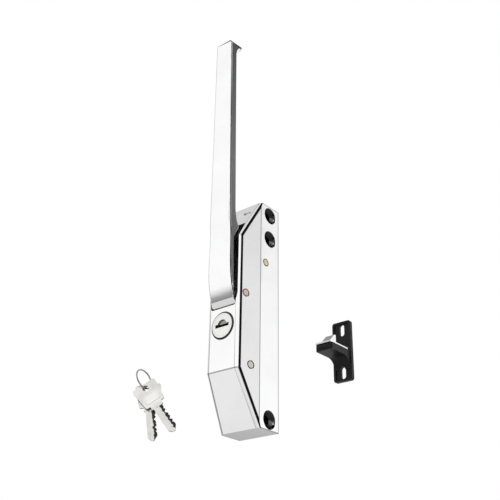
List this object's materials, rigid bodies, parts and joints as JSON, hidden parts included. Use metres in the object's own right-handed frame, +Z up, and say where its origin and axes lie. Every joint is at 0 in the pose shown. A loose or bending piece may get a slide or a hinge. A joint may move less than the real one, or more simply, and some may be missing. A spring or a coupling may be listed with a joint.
{
  "type": "lever handle door latch",
  "caption": "Tall chrome lever handle on a slim edge-mount latch body with a key lock, a black bracket strike with a ramped tooth, and keys on a ring.",
  "frame": {"origin": "on the mounting face (the latch body's -X side), midway between the top and bottom screw holes", "axes": "+Z up along the handle, -Y towards the person who pulls the handle, +X away from the mounting face, out through the countersunk side"},
  "size_m": [0.1198, 0.159, 0.3097],
  "materials": {
    "chrome_casting": "polished chrome plate",
    "chrome_lock": "satin chrome plate",
    "zinc_steel": "bright zinc",
    "satin_casting": "satin",
    "spring_steel": "drawn wire",
    "brass": "turned",
    "copper_steel": "coppered, ground",
    "black_casting": "satin black",
    "nickel": "worn nickel plate"
  },
  "bodies": {
    "body": {"housing": "chrome_casting", "stop_pin": "brass", "handle_pin": "copper_steel", "spring_pin": "copper_steel", "handle_spring": "spring_steel", "lock_barrel": "chrome_lock", "lock_nut": "zinc_steel", "key_ring": "nickel"},
    "handle": {"handle": "chrome_casting", "pivot_bushes": "brass", "hook_stop_pin": "zinc_steel", "hook_spacers": "zinc_steel", "hook_spring": "spring_steel", "spring_post": "zinc_steel"},
    "hook": {"hook": "satin_casting"},
    "lock": {"lock_plug": "chrome_lock", "lock_wafers": "brass", "lock_cam": "zinc_steel", "cam_screw": "zinc_steel"},
    "strike": {"strike_bracket": "black_casting", "strike_tooth": "chrome_casting"},
    "key_1": {"key_1": "nickel"},
    "key_2": {"key_2": "nickel"}
  },
  "joints": [
    {"name": "handle_pivot", "type": "hinge", "parent": "body", "child": "handle", "pos_m": [0.017, -0.0238, 0.00705], "axis": [1, 0, 0], "range_deg": [0, 30], "stiffness_Nm_per_rad": 0.6, "springref_deg": -17.19, "deforming": ["handle_spring"]},
    {"name": "hook_pivot", "type": "hinge", "parent": "handle", "child": "hook", "pos_m": [0.017, -0.0238, 0.00705], "axis": [1, 0, 0], "range_deg": [0, 18], "stiffness_Nm_per_rad": 0.2, "springref_deg": -20.05},
    {"name": "lock_turn", "type": "hinge", "parent": "body", "child": "lock", "pos_m": [0.017, -0.03, -0.01565], "axis": [0, 1, 0], "range_deg": [0, 90]},
    {"name": "strike_slide", "type": "slide", "parent": "body", "child": "strike", "axis": [0, -1, 0], "range_m": [0, 0.0901]},
    {"name": "key_1_swing", "type": "hinge", "parent": "body", "child": "key_1", "pos_m": [-0.07734, -0.00996, -0.0372], "axis": [0.6428, -0.766, 0], "range_deg": [-60, 25]},
    {"name": "key_2_swing", "type": "hinge", "parent": "body", "child": "key_2", "pos_m": [-0.07779, -0.00615, -0.03643], "axis": [0.6428, -0.766, 0], "range_deg": [-30, 50]}
  ]
}
